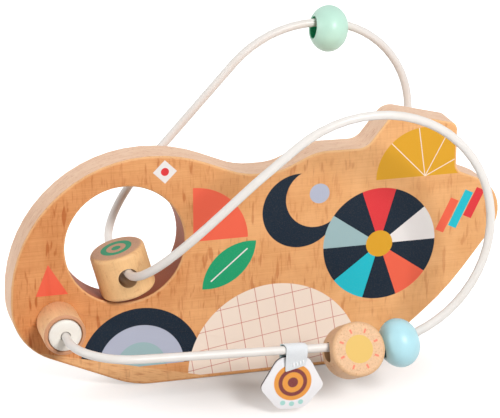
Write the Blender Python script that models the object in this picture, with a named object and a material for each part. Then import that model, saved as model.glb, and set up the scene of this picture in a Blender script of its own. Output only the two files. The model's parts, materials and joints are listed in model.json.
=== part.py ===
"""Wooden abacus rattle: a flat board with one long wire looped through its hand hole.

The board stands upright on its flat bottom edge.  X runs along the board, -Y is the front
and Z is up.  All driving dimensions are in millimetres.
"""
import math

import bmesh
import bpy
from mathutils import Matrix, Vector

MM = 0.001

# Board
BOARD_T = 18.0
BOARD_EDGE_R = 1.2
HOLE_SIDES = 64
HAND_HOLE = (-59.0, 69.8, 28.0)
# Corners of the outline: x, z, fillet radius
OUTLINE = (
    (-55.8, 0.0, 41.0),
    (58.5, 0.0, 40.0),
    (96.9, 31.6, 125.0),
    (132.7, 77.8, 17.8),
    (100.7, 91.8, 5.0),
    (100.7, 114.8, 4.0),
    (69.3, 122.7, 8.0),
    (56.1, 106.4, 8.0),
    (32.2, 106.8, 25.0),
    (14.6, 98.6, 25.0),
    (-2.8, 98.6, 35.0),
    (-33.0, 111.3, 70.0),
    (-74.6, 111.3, 64.0),
    (-112.4, 73.5, 64.0),
    (-112.4, 25.3, 29.0),
)
FILLET_STEP = 6.0

# Stand-offs that hold the two wire ends
FRONT_POST = (-91.3, 36.2)
POST_R = 9.75
POST_H = 18.0
POST_EDGE_R = 1.2
POST_SIDES = 36
POST_SEAT_R = 7.9
POST_SEAT_D = 4.2
SPIGOT_R = 5.0
SPIGOT_L = 8.0
SOCKET_FIT = 0.2
SOCKET_FLOOR = 0.5
SOCKET_SIDES = 32
CAP_R = 7.6
CAP_T = 4.0
CAP_DOME = 1.6
CAP_RIM = 0.4
WIRE_HOLE_R = 2.35

# Wire
WIRE_R = 2.0
WIRE_SIDES = 12
WIRE_SUNK = 2.0
ARC_STEP = 6.0
FRONT_Y = -60.0
FRONT_BEND_R = 25.5
RUN_HEADING = -2.6
RUN_END_X = 42.0
LOOP_R = 54.0
LOOP_TURN = 157.2
UPPER_R = 58.2
DIAGONAL_HEADING = 217.6
DIAGONAL_L = 19.5
PASS = (-59.6, 59.4)
PASS_Y = (-17.4, 20.0)
PASS_PULL = (19.6, 28.5)
PASS_STEPS = 16
REAR_BEND_R = 34.6
REAR_HEADING = 47.0
REAR_RUN_L = 66.4
ARCH_R = 55.3
ARCH_TURN = 59.1
ARCH_END_R = 46.6
REAR_DROP = 4.2
REAR_STUB = 4.0

# Beads
GAP = 0.3
CYL_BORE_R = 4.6
CYL_SIDES = 48
CYL_BORE_SIDES = 40
DISC_R = 12.5
DISC_L = 18.4
DISC_EDGE_R = 1.6
DISC_X = 34.4
DISC_PITCH = 26.3
DRUM_R = 12.9
DRUM_L = 21.8
DRUM_EDGE_R = 2.2
DRUM_Y = -5.0
DRUM_TILT = 15.4
BALL_R = 11.3
BALL_REACH = 9.4
BALL_RIM = 0.9
BALL_MOUTH = ((0.0, 0.7), (0.25, 0.2))
BALL_STEPS = 10
BALL_SIDES = 40
BLUE_BORE_R = 4.6
BLUE_ANGLE = 12.0
MINT_BORE_R = 5.2
MINT_ANGLE = -7.8

# Tag
TAG_X = 6.2
TAG_W = 29.0
TAG_H = 25.0
TAG_TOP = 3.3
TAG_CORNERS = ((-7.0, 12.5, 6.0), (7.0, 12.5, 6.0), (15.0, -2.0, 3.0),
               (6.3, -12.5, 6.0), (-6.3, -12.5, 6.0), (-15.0, -2.0, 3.0))
TAG_LAYER_T = 1.0
TAG_FILL_T = 0.4
TAG_GAP = 0.15
TAG_FILL_INSET = 1.6
STRAP_W = 10.1
STRAP_T = 0.8
STRAP_IN_R = 2.5
STRAP_TAIL = 8.6
STRAP_NECK = 1.2
STRAP_FLAT = 5.0
STRAP_STEPS = 12

SMOOTH_ANGLE = 35.0


def clear_scene():
    for obj in list(bpy.data.objects):
        bpy.data.objects.remove(obj, do_unlink=True)


def material(name, colour, roughness, metallic=0.0):
    mat = bpy.data.materials.new(name)
    mat.use_nodes = True
    bsdf = mat.node_tree.nodes["Principled BSDF"]
    bsdf.inputs["Base Color"].default_value = (*colour, 1.0)
    bsdf.inputs["Roughness"].default_value = roughness
    bsdf.inputs["Metallic"].default_value = metallic
    mat.diffuse_color = (*colour, 1.0)
    return mat


def add_mesh(name, bm, mat, location=(0.0, 0.0, 0.0)):
    """Turn a bmesh in millimetres into a named object whose origin is at location."""
    bmesh.ops.recalc_face_normals(bm, faces=bm.faces)
    bmesh.ops.scale(bm, vec=(MM, MM, MM), verts=bm.verts)
    mesh = bpy.data.meshes.new(name)
    bm.to_mesh(mesh)
    bm.free()
    mesh.materials.append(mat)
    obj = bpy.data.objects.new(name, mesh)
    obj.location = Vector(location) * MM
    bpy.context.scene.collection.objects.link(obj)
    return obj


def apply_modifiers(obj):
    graph = bpy.context.evaluated_depsgraph_get()
    mesh = bpy.data.meshes.new_from_object(obj.evaluated_get(graph))
    obj.modifiers.clear()
    obj.data = mesh


def subtract(obj, cutter):
    """Cut one object out of another and drop the cutter."""
    mod = obj.modifiers.new("cut", "BOOLEAN")
    mod.operation = "DIFFERENCE"
    mod.solver = "EXACT"
    mod.object = cutter
    cutter.hide_render = True
    cutter.display_type = "WIRE"
    bpy.context.view_layer.update()
    apply_modifiers(obj)
    bpy.data.objects.remove(cutter, do_unlink=True)


def shade_round(obj):
    obj.data.shade_smooth()
    obj.data.set_sharp_from_angle(angle=math.radians(SMOOTH_ANGLE))


def cylinder_between(start, end, radius, sides):
    """Closed cylinder in millimetres from one point to another."""
    start, end = Vector(start), Vector(end)
    bm = bmesh.new()
    turn = Vector((0, 0, 1)).rotation_difference(end - start).to_matrix().to_4x4()
    place = Matrix.Translation((start + end) / 2) @ turn
    bmesh.ops.create_cone(bm, cap_ends=True, segments=sides, radius1=radius, radius2=radius,
                          depth=(end - start).length, matrix=place)
    return bm


def revolve(profile, sides):
    """Spin a closed (radius, height) profile about Z."""
    bm = bmesh.new()
    verts = [bm.verts.new((r, 0.0, h)) for r, h in profile]
    edges = [bm.edges.new((verts[i], verts[(i + 1) % len(verts)])) for i in range(len(verts))]
    bmesh.ops.spin(bm, geom=verts + edges, cent=(0, 0, 0), axis=(0, 0, 1), angle=math.tau,
                   steps=sides, use_merge=True)
    bmesh.ops.remove_doubles(bm, verts=bm.verts, dist=0.001)
    return bm


def arc_points(centre, radius, start, end, count):
    """Points on a circle, angles in degrees, both ends included."""
    points = []
    for i in range(count + 1):
        a = math.radians(start + (end - start) * i / count)
        points.append((centre[0] + radius * math.cos(a), centre[1] + radius * math.sin(a)))
    return points


def rounded_polygon(corners):
    """Sample a polygon whose corners carry fillets; each corner is (x, z, radius)."""
    points = []
    for i, (x, z, radius) in enumerate(corners):
        here = Vector((x, z))
        back = (Vector(corners[i - 1][:2]) - here).normalized()
        ahead = (Vector(corners[(i + 1) % len(corners)][:2]) - here).normalized()
        turn = math.pi - back.angle(ahead)
        reach = radius * math.tan(turn / 2)
        centre = here + (back + ahead).normalized() * math.hypot(radius, reach)
        start = here + back * reach - centre
        side = 1.0 if back.x * ahead.y - back.y * ahead.x < 0 else -1.0
        count = max(3, round(math.degrees(turn) / FILLET_STEP))
        for k in range(count + 1):
            a = side * turn * k / count
            spun = Vector((start.x * math.cos(a) - start.y * math.sin(a),
                           start.x * math.sin(a) + start.y * math.cos(a)))
            points.append(centre + spun)
    return points


def make_board(mat, rear_post):
    half = BOARD_T / 2
    bm = bmesh.new()
    face = bm.faces.new([bm.verts.new((p.x, -half, p.y)) for p in rounded_polygon(OUTLINE)])
    grown = bmesh.ops.extrude_face_region(bm, geom=[face])
    verts = [v for v in grown["geom"] if isinstance(v, bmesh.types.BMVert)]
    bmesh.ops.translate(bm, verts=verts, vec=(0, BOARD_T, 0))
    board = add_mesh("board", bm, mat)
    hx, hz, hr = HAND_HOLE
    hole = cylinder_between((hx, -BOARD_T, hz), (hx, BOARD_T, hz), hr, HOLE_SIDES)
    subtract(board, add_mesh("hole_cutter", hole, mat))
    bevel = board.modifiers.new("edges", "BEVEL")
    bevel.width = BOARD_EDGE_R * MM
    bevel.segments = 3
    bevel.limit_method = "ANGLE"
    bevel.angle_limit = math.radians(50)
    apply_modifiers(board)
    for (x, z), side in ((FRONT_POST, -1.0), (rear_post, 1.0)):
        mouth, floor = side * BOARD_T, side * (half - SPIGOT_L - SOCKET_FLOOR)
        socket = cylinder_between((x, mouth, z), (x, floor, z), SPIGOT_R + SOCKET_FIT, SOCKET_SIDES)
        subtract(board, add_mesh("socket_cutter", socket, mat))
    return board


def make_post(name, place, side, mat):
    """Turned stand-off with a glued spigot and a seat for its cap."""
    edge = arc_points((POST_R - POST_EDGE_R, POST_H - POST_EDGE_R), POST_EDGE_R, 0, 90, 4)
    profile = [(WIRE_HOLE_R, -SPIGOT_L), (SPIGOT_R, -SPIGOT_L), (SPIGOT_R, GAP), (POST_R, GAP)]
    profile += edge
    profile += [(POST_SEAT_R, POST_H), (POST_SEAT_R, POST_H - POST_SEAT_D),
                (WIRE_HOLE_R, POST_H - POST_SEAT_D)]
    bm = revolve(profile, POST_SIDES)
    bmesh.ops.rotate(bm, cent=(0, 0, 0), matrix=Matrix.Rotation(-side * math.pi / 2, 3, "X"),
                     verts=bm.verts)
    return add_mesh(name, bm, mat, (place[0], side * BOARD_T / 2, place[1]))


def make_cap(name, place, side, mat):
    """Domed plug round the wire in the mouth of a stand-off."""
    base = POST_H - POST_SEAT_D + GAP
    top = base + CAP_T
    profile = [(WIRE_HOLE_R, base), (CAP_R, base), (CAP_R, top - CAP_RIM)]
    for i in range(1, 6):
        a = math.radians(90 * i / 5)
        r = WIRE_HOLE_R + (CAP_R - WIRE_HOLE_R) * math.cos(a)
        profile.append((r, top - CAP_RIM + CAP_DOME * math.sin(a)))
    bm = revolve(profile, POST_SIDES)
    bmesh.ops.rotate(bm, cent=(0, 0, 0), matrix=Matrix.Rotation(-side * math.pi / 2, 3, "X"),
                     verts=bm.verts)
    return add_mesh(name, bm, mat, (place[0], side * BOARD_T / 2, place[1]))


class WirePath:
    """Centre line of the wire, laid down run by run from the front stand-off to the rear one."""

    def __init__(self, start):
        self.points = [Vector(start)]

    def line_to(self, point):
        self.points.append(Vector(point))

    def turn(self, into, radius, heading, degrees=90.0):
        """Arc that leaves along heading and curves towards the direction into."""
        start, count = self.points[-1], max(2, round(degrees / ARC_STEP))
        for k in range(1, count + 1):
            a = math.radians(degrees * k / count)
            self.points.append(start + radius * (math.sin(a) * heading + (1 - math.cos(a)) * into))

    def ease(self, end, leave, arrive):
        """Smooth bend from the last point, leaving and arriving along the given vectors."""
        p0, p3 = self.points[-1], Vector(end)
        p1, p2 = p0 + leave, p3 - arrive
        for k in range(1, PASS_STEPS + 1):
            t = k / PASS_STEPS
            s = 1 - t
            self.points.append(p0 * s ** 3 + p1 * (3 * s * s * t) + p2 * (3 * s * t * t) + p3 * t ** 3)


def heading(degrees):
    """Unit vector in the XZ plane."""
    a = math.radians(degrees)
    return Vector((math.cos(a), 0, math.sin(a)))


def run_z(x):
    """Height of the straight bottom run at x."""
    start_x = FRONT_POST[0] + FRONT_BEND_R * math.cos(math.radians(RUN_HEADING))
    start_z = FRONT_POST[1] + FRONT_BEND_R * math.sin(math.radians(RUN_HEADING))
    return start_z + (x - start_x) * math.tan(math.radians(RUN_HEADING))


def loop_centre():
    up = heading(RUN_HEADING + 90)
    return Vector((RUN_END_X, FRONT_Y, run_z(RUN_END_X))) + LOOP_R * up


def rear_plane():
    return PASS_Y[1] + REAR_BEND_R


def arch_centre():
    start = Vector((PASS[0], rear_plane(), PASS[1]))
    start += heading(REAR_HEADING) * (REAR_BEND_R + REAR_RUN_L)
    return start + ARCH_R * heading(REAR_HEADING - 90)


def wire_points():
    forward, backward = Vector((0, -1, 0)), Vector((0, 1, 0))
    path = WirePath((FRONT_POST[0], -BOARD_T / 2 + SPIGOT_L - WIRE_SUNK, FRONT_POST[1]))
    path.line_to((FRONT_POST[0], FRONT_Y + FRONT_BEND_R, FRONT_POST[1]))
    path.turn(heading(RUN_HEADING), FRONT_BEND_R, forward)
    path.line_to((RUN_END_X, FRONT_Y, run_z(RUN_END_X)))
    path.turn(heading(RUN_HEADING + 90), LOOP_R, heading(RUN_HEADING), LOOP_TURN)
    top = RUN_HEADING + LOOP_TURN
    path.turn(heading(top + 90), UPPER_R, heading(top), DIAGONAL_HEADING - top)
    diagonal = heading(DIAGONAL_HEADING)
    path.line_to(path.points[-1] + diagonal * DIAGONAL_L)
    path.ease((PASS[0], PASS_Y[0], PASS[1]), diagonal * PASS_PULL[0], backward * PASS_PULL[1])
    path.line_to((PASS[0], PASS_Y[1], PASS[1]))
    rising = heading(REAR_HEADING)
    path.turn(rising, REAR_BEND_R, backward)
    path.line_to(path.points[-1] + rising * REAR_RUN_L)
    path.turn(heading(REAR_HEADING - 90), ARCH_R, rising, ARCH_TURN)
    bend = REAR_HEADING - ARCH_TURN
    path.turn(heading(bend - 90), ARCH_END_R, heading(bend), bend + 90)
    down = Vector((0, 0, -1))
    path.line_to(path.points[-1] + down * REAR_DROP)
    radius = rear_plane() - BOARD_T / 2 - POST_H - REAR_STUB
    path.turn(forward, radius, down)
    end = path.points[-1]
    path.line_to((end.x, BOARD_T / 2 - SPIGOT_L + WIRE_SUNK, end.z))
    return path.points


def make_wire(mat):
    curve = bpy.data.curves.new("wire", "CURVE")
    curve.dimensions = "3D"
    curve.bevel_depth = WIRE_R * MM
    curve.bevel_resolution = WIRE_SIDES // 2 - 2
    curve.use_fill_caps = True
    points = wire_points()
    spline = curve.splines.new("POLY")
    spline.points.add(len(points) - 1)
    for slot, p in zip(spline.points, points):
        slot.co = (p.x * MM, p.y * MM, p.z * MM, 1.0)
    bent = bpy.data.objects.new("wire_curve", curve)
    bpy.context.scene.collection.objects.link(bent)
    bpy.context.view_layer.update()
    mesh = bpy.data.meshes.new_from_object(bent.evaluated_get(bpy.context.evaluated_depsgraph_get()))
    bpy.data.objects.remove(bent, do_unlink=True)
    bm = bmesh.new()
    bm.from_mesh(mesh)
    bpy.data.meshes.remove(mesh)
    bmesh.ops.remove_doubles(bm, verts=bm.verts, dist=0.00001)
    bmesh.ops.scale(bm, vec=(1 / MM, 1 / MM, 1 / MM), verts=bm.verts)
    return add_mesh("wire", bm, mat)


def make_cylinder_bead(name, mat, size, centre, axis, bore):
    """Turned bead of a radius, length and rim radius, with a bore across it; origin at its centre."""
    radius, length, r = size
    half = length / 2
    profile = arc_points((radius - r, half - r), r, 0, 90, 4)
    profile += [(0.0, half), (0.0, -half)]
    profile += arc_points((radius - r, -half + r), r, -90, 0, 4)
    bm = revolve(profile, CYL_SIDES)
    turn = Vector((0, 0, 1)).rotation_difference(Vector(axis)).to_matrix()
    bmesh.ops.rotate(bm, cent=(0, 0, 0), matrix=turn, verts=bm.verts)
    bead = add_mesh(name, bm, mat, centre)
    reach = Vector(bore).normalized() * radius * 1.5
    drill = cylinder_between(-reach, reach, CYL_BORE_R, CYL_BORE_SIDES)
    subtract(bead, add_mesh("bore_cutter", drill, mat, centre))
    return bead


def ball_end(bore_r):
    """Angle on a ball bead's oval section at which its bore's mouth begins."""
    return math.acos((bore_r + BALL_RIM) / BALL_R)


def make_ball_bead(name, mat, pivot, offset, along, bore_r):
    """Oval bead on a bent run; origin on the axis of the bend."""
    end = ball_end(bore_r)
    half = BALL_REACH * math.sin(end)
    mouth = [(bore_r + out, half - depth) for out, depth in BALL_MOUTH]
    side = []
    for i in range(BALL_STEPS + 1):
        a = end * (1 - 2 * i / BALL_STEPS)
        side.append((BALL_R * math.cos(a), BALL_REACH * math.sin(a)))
    profile = mouth + side + [(r, -h) for r, h in reversed(mouth)]
    bm = revolve(profile, BALL_SIDES)
    turn = Vector((0, 0, 1)).rotation_difference(along).to_matrix()
    bmesh.ops.rotate(bm, cent=(0, 0, 0), matrix=turn, verts=bm.verts)
    bmesh.ops.translate(bm, verts=bm.verts, vec=offset)
    return add_mesh(name, bm, mat, pivot)


def make_tag_layer(name, mat, pivot, turn, y_mid, thickness, shrink):
    """One layer of the plain six-sided tag below the strap."""
    bm = bmesh.new()
    middle = -TAG_TOP - TAG_H / 2
    ring = [(x * (1 - shrink / TAG_W * 2), middle + z * (1 - shrink / TAG_H * 2))
            for x, z in rounded_polygon(TAG_CORNERS)]
    face = bm.faces.new([bm.verts.new((x, y_mid - thickness / 2, z)) for x, z in ring])
    grown = bmesh.ops.extrude_face_region(bm, geom=[face])
    verts = [v for v in grown["geom"] if isinstance(v, bmesh.types.BMVert)]
    bmesh.ops.translate(bm, verts=verts, vec=(0, thickness, 0))
    bmesh.ops.rotate(bm, cent=(0, 0, 0), matrix=turn, verts=bm.verts)
    return add_mesh(name, bm, mat, pivot)


def strap_side(radius, tail):
    """One face of the folded ribbon, seen along the wire, from tail to tail."""
    half = [(radius, -STRAP_NECK), (tail, -STRAP_FLAT), (tail, -STRAP_TAIL)]
    left = [(-y, z) for y, z in reversed(half)]
    return left + arc_points((0, 0), radius, 180, 0, STRAP_STEPS) + half


def make_strap(mat, pivot, turn):
    """Ribbon folded over the wire with one tail on each face of the tag."""
    stack = 2 * TAG_LAYER_T + TAG_FILL_T + 2 * TAG_GAP
    tail = stack / 2 + GAP
    inner = strap_side(STRAP_IN_R, tail)
    outer = strap_side(STRAP_IN_R + STRAP_T, tail + STRAP_T)
    bm = bmesh.new()
    ring = inner + outer[::-1]
    face = bm.faces.new([bm.verts.new((-STRAP_W / 2, y, z)) for y, z in ring])
    grown = bmesh.ops.extrude_face_region(bm, geom=[face])
    verts = [v for v in grown["geom"] if isinstance(v, bmesh.types.BMVert)]
    bmesh.ops.translate(bm, verts=verts, vec=(STRAP_W, 0, 0))
    bmesh.ops.rotate(bm, cent=(0, 0, 0), matrix=turn, verts=bm.verts)
    return add_mesh("tag_strap", bm, mat, pivot)


def make_tag(mats):
    pivot = (TAG_X, FRONT_Y, run_z(TAG_X))
    turn = Matrix.Rotation(math.radians(-RUN_HEADING), 3, "Y")
    make_strap(mats["ribbon"], pivot, turn)
    step = TAG_FILL_T / 2 + TAG_GAP + TAG_LAYER_T / 2
    make_tag_layer("tag_front", mats["tag_front"], pivot, turn, -step, TAG_LAYER_T, 0.0)
    make_tag_layer("tag_filling", mats["tag_fill"], pivot, turn, 0.0, TAG_FILL_T,
                   TAG_FILL_INSET)
    make_tag_layer("tag_back", mats["tag_back"], pivot, turn, step, TAG_LAYER_T, 0.0)


def make_beads(mats):
    run = heading(RUN_HEADING)
    hang = CYL_BORE_R - WIRE_R - GAP
    pitch = math.radians(DISC_PITCH)
    make_cylinder_bead("disc_bead", mats["bead_wood"], (DISC_R, DISC_L, DISC_EDGE_R),
                       (DISC_X, FRONT_Y, run_z(DISC_X) - hang),
                       (0, -math.cos(pitch), math.sin(pitch)), run)
    tilt = math.radians(DRUM_TILT)
    make_cylinder_bead("drum_bead", mats["drum_wood"], (DRUM_R, DRUM_L, DRUM_EDGE_R),
                       (PASS[0], DRUM_Y, PASS[1] - hang),
                       (-math.sin(tilt), 0, math.cos(tilt)), (0, 1, 0))
    sag = (BALL_REACH * math.sin(ball_end(BLUE_BORE_R))) ** 2 / (2 * LOOP_R)
    reach = LOOP_R + BLUE_BORE_R - WIRE_R - GAP - sag
    angle = -90 + BLUE_ANGLE
    make_ball_bead("blue_bead", mats["blue"], loop_centre(), heading(angle) * reach,
                   heading(angle + 90), BLUE_BORE_R)
    reach = ARCH_R - (MINT_BORE_R - WIRE_R - GAP)
    angle = 90 + MINT_ANGLE
    make_ball_bead("mint_bead", mats["mint"], arch_centre(), heading(angle) * reach,
                   heading(angle + 90), MINT_BORE_R)


def main():
    clear_scene()
    mats = {
        "beech": material("beech", (0.74, 0.40, 0.16), 0.5),
        "post_wood": material("post_wood", (0.78, 0.46, 0.21), 0.5),
        "bead_wood": material("bead_wood", (0.83, 0.58, 0.35), 0.5),
        "drum_wood": material("drum_wood", (0.80, 0.52, 0.23), 0.5),
        "white": material("white", (0.87, 0.83, 0.78), 0.4),
        "wire": material("wire", (0.90, 0.87, 0.84), 0.35),
        "blue": material("blue", (0.38, 0.72, 0.80), 0.35),
        "mint": material("mint", (0.51, 0.78, 0.63), 0.35),
        "ribbon": material("ribbon", (0.80, 0.86, 0.90), 0.8),
        "tag_front": material("tag_front", (0.85, 0.42, 0.06), 0.85),
        "tag_fill": material("tag_fill", (0.80, 0.80, 0.80), 0.9),
        "tag_back": material("tag_back", (0.05, 0.07, 0.14), 0.85),
    }
    wire_end = wire_points()[-1]
    rear_post = (wire_end.x, wire_end.z)
    make_board(mats["beech"], rear_post)
    make_post("post_front", FRONT_POST, -1.0, mats["post_wood"])
    make_post("post_rear", rear_post, 1.0, mats["post_wood"])
    make_cap("cap_front", FRONT_POST, -1.0, mats["white"])
    make_cap("cap_rear", rear_post, 1.0, mats["white"])
    make_wire(mats["wire"])
    make_beads(mats)
    make_tag(mats)
    for obj in bpy.data.objects:
        shade_round(obj)


main()
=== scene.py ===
"""Looks of the wooden abacus rattle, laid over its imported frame."""
import json
import math

import bmesh
import bpy
from bpy.props import FloatProperty, FloatVectorProperty, PointerProperty
from mathutils import Matrix, Vector


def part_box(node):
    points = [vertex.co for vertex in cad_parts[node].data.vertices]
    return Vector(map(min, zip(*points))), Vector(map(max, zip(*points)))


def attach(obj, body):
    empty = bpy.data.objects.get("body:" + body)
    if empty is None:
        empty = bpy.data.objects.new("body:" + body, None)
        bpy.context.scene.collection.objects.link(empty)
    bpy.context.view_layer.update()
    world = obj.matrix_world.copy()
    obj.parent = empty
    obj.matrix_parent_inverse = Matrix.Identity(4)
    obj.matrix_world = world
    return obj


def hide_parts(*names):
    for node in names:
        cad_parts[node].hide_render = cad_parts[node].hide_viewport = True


bl_info = {
    "name": "Abacus rattle",
    "version": (1, 0, 0),
    "blender": (4, 5, 0),
    "location": "View3D > Sidebar > Rattle",
    "description": "Dresses the packed frame of a wooden abacus rattle",
    "category": "Object",
}

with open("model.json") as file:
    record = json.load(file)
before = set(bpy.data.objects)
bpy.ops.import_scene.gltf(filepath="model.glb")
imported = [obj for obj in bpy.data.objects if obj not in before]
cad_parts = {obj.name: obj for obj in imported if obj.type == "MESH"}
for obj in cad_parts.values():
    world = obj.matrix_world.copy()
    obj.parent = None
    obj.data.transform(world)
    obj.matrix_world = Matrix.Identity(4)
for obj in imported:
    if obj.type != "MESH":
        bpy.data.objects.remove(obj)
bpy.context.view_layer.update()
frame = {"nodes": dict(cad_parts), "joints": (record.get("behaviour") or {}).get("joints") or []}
JOINTS = {joint["name"]: joint for joint in frame["joints"]}

MM = 0.001
WELD = 0.00001
SHARP_ANGLE = 38.0
ROUND_ANGLE = 60.0

HAND_HOLE = (-59.0, 69.8, 28.0)

# Motifs of the board's print, in millimetres on its face: place (x, z), then size
INK_EDGE = 0.1
HILL = ((12.0, 2.0), 42.0)
HILL_GRID = (8.8, 9.0, 0.14)
PINWHEEL = ((63.0, 59.0), 27.5)
PINWHEEL_HUB = 6.5
SUN = ((85.0, 90.5), 24.0)
SUN_RAYS = (26.0, 62.0, 98.0, 134.0)
SUN_LINE = 0.2
MOON = ((24.0, 79.0), 18.0)
MOON_BITE = ((31.5, 84.5), 14.2)
MOON_STAR = ((33.5, 86.5), 4.8)
QUARTER = ((-27.0, 68.5), 26.0)
LEAF = ((-10.0, 55.5), 23.0, 15.6, 40.0)
LEAF_VEIN = 0.3
ARCH = ((-52.5, 9.5), (29.0, 20.5, 12.0))
PENNANT = ((-101.0, 49.0), (-86.0, 49.0), (-95.0, 64.0))
DIAMOND = ((-40.0, 103.5), 5.6)
DIAMOND_DOT = 1.9
BARS = (((96.5, 70.0), 17.0), ((103.2, 72.5), 19.0), ((109.8, 75.0), 15.0))
BAR_WIDTH = 4.4
BAR_ANGLE = 64.0
BARE_EDGE = ((-52.4, 9.2), 75.7)
BARE_FOOT = 1.5


def srgb(code):
    """Linear colour of a hex code."""
    channels = [int(code[i:i + 2], 16) / 255 for i in (0, 2, 4)]
    return tuple(c / 12.92 if c <= 0.04045 else ((c + 0.055) / 1.055) ** 2.4 for c in channels)


def colour(name, description, code):
    return FloatVectorProperty(name=name, description=description, default=srgb(code), size=3,
                               min=0.0, max=1.0, subtype="COLOR")


def length(name, description, millimetres):
    return FloatProperty(name=name, description=description, default=millimetres * MM, min=0.0,
                         unit="LENGTH", subtype="DISTANCE")


def amount(name, description, value):
    return FloatProperty(name=name, description=description, default=value, min=0.0)


class RattleWood(bpy.types.PropertyGroup):
    face: colour("Face", "Beech on the flat faces", "F6BE85")
    face_deep: colour("Face, deep", "Darker bands of the face", "DB9A60")
    heart: colour("Heart", "Redder heartwood at the board's left end", "E8A067")
    heart_deep: colour("Heart, deep", "Darker bands of the heartwood", "C0733D")
    edge: colour("Edge", "Sawn and sanded edge of the board", "F7D6BA")
    edge_deep: colour("Edge, deep", "Darker bands of the edge", "E2B493")
    # Pale tone of the painted highlights on the board's rims and round the bead bores; also the bare
    # strip's tone and the print's linen flecks
    rim: colour("Rim", "Softened edge between face and side", "F7CD98")
    fleck: colour("Fleck", "Ray flecks", "B4602F")
    post: colour("Stand-off", "Turned stand-offs", "FFCF9C")
    post_end: colour("Stand-off end", "End grain of the stand-offs", "CE9570")
    disc: colour("Disc", "Disc bead", "E9BC90")
    drum: colour("Drum", "Side of the drum bead", "FCCB90")
    drum_end: colour("Drum end", "End grain of the drum bead", "CC9A7C")
    # Painted shade: dark colour for the inside of the drilled bores
    bore: colour("Bore", "Inside of the drilled bores", "7A4526")
    # Painted shade: dark red-brown for the wall of the hand hole, where shade falls
    hole: colour("Hole", "Wall of the hand hole", "A04E24")


class RattleInk(bpy.types.PropertyGroup):
    navy: colour("Navy", "Dark ink", "10202F")
    turquoise: colour("Turquoise", "Bright blue ink", "23BCCB")
    coral: colour("Coral", "Warm ink", "EE654B")
    red: colour("Red", "Red ink", "DD3B40")
    greyblue: colour("Grey blue", "Muted blue ink", "9DB9BC")
    lilac: colour("Lilac", "Pale grey ink", "B4B9CB")
    cream: colour("Cream", "Pale ink", "F5E2D2")
    grid: colour("Grid", "Thin lines on the pale ink", "C9705F")
    mustard: colour("Mustard", "Yellow ink", "DDA22C")
    green: colour("Green", "Green ink", "1F9C6B")
    white: colour("White", "Off-white ink", "EBE5E2")
    yellow: colour("Yellow", "Ink on the disc bead", "DFB658")


class RattlePaint(bpy.types.PropertyGroup):
    wire: colour("Wire", "Coating of the wire", "E9E4DF")
    cap: colour("Cap", "Plugs in the stand-offs", "F0EBE2")
    blue: colour("Blue", "Blue bead", "B4E2EC")
    mint: colour("Mint", "Mint bead", "C2EAD8")
    # Painted shade: darker colours for the inside of the painted beads' bores
    mint_bore: colour("Mint bore", "Stained bore of the mint bead", "12A06C")
    blue_bore: colour("Blue bore", "Stained bore of the blue bead", "3E8FA8")


class RattleTag(bpy.types.PropertyGroup):
    height: length("Height", "Height of the tag", 25.0)
    top: length("Top", "Drop from the wire to the tag's top", 3.3)
    rim: length("Rim", "Thickness at the tag's rim", 1.5)
    crown: length("Crown", "Half thickness in the middle", 1.45)
    ribbon_width: length("Ribbon width", "Width of the ribbon", 10.1)
    ribbon_thickness: length("Ribbon thickness", "Thickness of the ribbon", 0.55)
    ribbon_tail: length("Ribbon tail", "Drop from the wire to the ribbon's ends", 8.6)
    border: colour("Border", "Border of the tag", "F4F2F4")
    field: colour("Field", "Middle of the tag", "EF9A22")
    ring: colour("Ring", "Rings on the tag", "7A0F0C")
    dots: colour("Dots", "Dots under the rings", "A9DFD6")
    back: colour("Back", "Back layer", "232B3E")
    ribbon: colour("Ribbon", "Outside of the ribbon", "EEF1F4")
    lining: colour("Lining", "Inside of the ribbon", "D6F0F2")
    thread: colour("Thread", "Sewing thread", "FFFFFF")


class RattleStage(bpy.types.PropertyGroup):
    floor: colour("Floor", "Studio floor", "CFCECD")
    # Painted shadow: this lift is cut down in an oval near the object, which darkens the floor there
    lift: amount("Lift", "Light that the camera sees added to the floor by the object", 0.58)
    far_lift: amount("Far lift", "Light that the camera sees added to the far floor", 0.88)
    sky_front: amount("Front light", "Strength of the studio light from the camera's side", 0.08)
    sky_back: amount("Back light", "Strength of the studio light from behind the object", 0.95)
    key: amount("Key", "Power of the main lamp in watts", 24.5)
    side: amount("Side", "Power of the lamp at the left in watts", 5.0)
    lens: amount("Lens", "Focal length of the camera in millimetres", 172.08)
    camera: FloatVectorProperty(name="Camera", description="Place of the camera", size=3,
                                default=(-0.27761, -1.01003, 0.44375), subtype="TRANSLATION")
    target: FloatVectorProperty(name="Target", description="Point that the camera looks at", size=3,
                                default=(0.0, -0.009, 0.082), subtype="TRANSLATION")


class RattleSettings(bpy.types.PropertyGroup):
    wood: PointerProperty(type=RattleWood)
    ink: PointerProperty(type=RattleInk)
    paint: PointerProperty(type=RattlePaint)
    tag: PointerProperty(type=RattleTag)
    stage: PointerProperty(type=RattleStage)


class Socket:
    """A node's output that takes part in Python arithmetic."""

    def __init__(self, nodes, output):
        self.nodes = nodes
        self.output = output

    def math(self, operation, *values):
        return self.nodes.node("ShaderNodeMath", {"operation": operation}, values)

    def __add__(self, other):
        return self.math("ADD", self, other)

    def __radd__(self, other):
        return self.math("ADD", other, self)

    def __sub__(self, other):
        return self.math("SUBTRACT", self, other)

    def __rsub__(self, other):
        return self.math("SUBTRACT", other, self)

    def __mul__(self, other):
        return self.math("MULTIPLY", self, other)

    def __rmul__(self, other):
        return self.math("MULTIPLY", other, self)

    def __truediv__(self, other):
        return self.math("DIVIDE", self, other)

    def __abs__(self):
        return self.math("ABSOLUTE", self)

    def __or__(self, other):
        return self.math("MAXIMUM", self, other)


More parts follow.
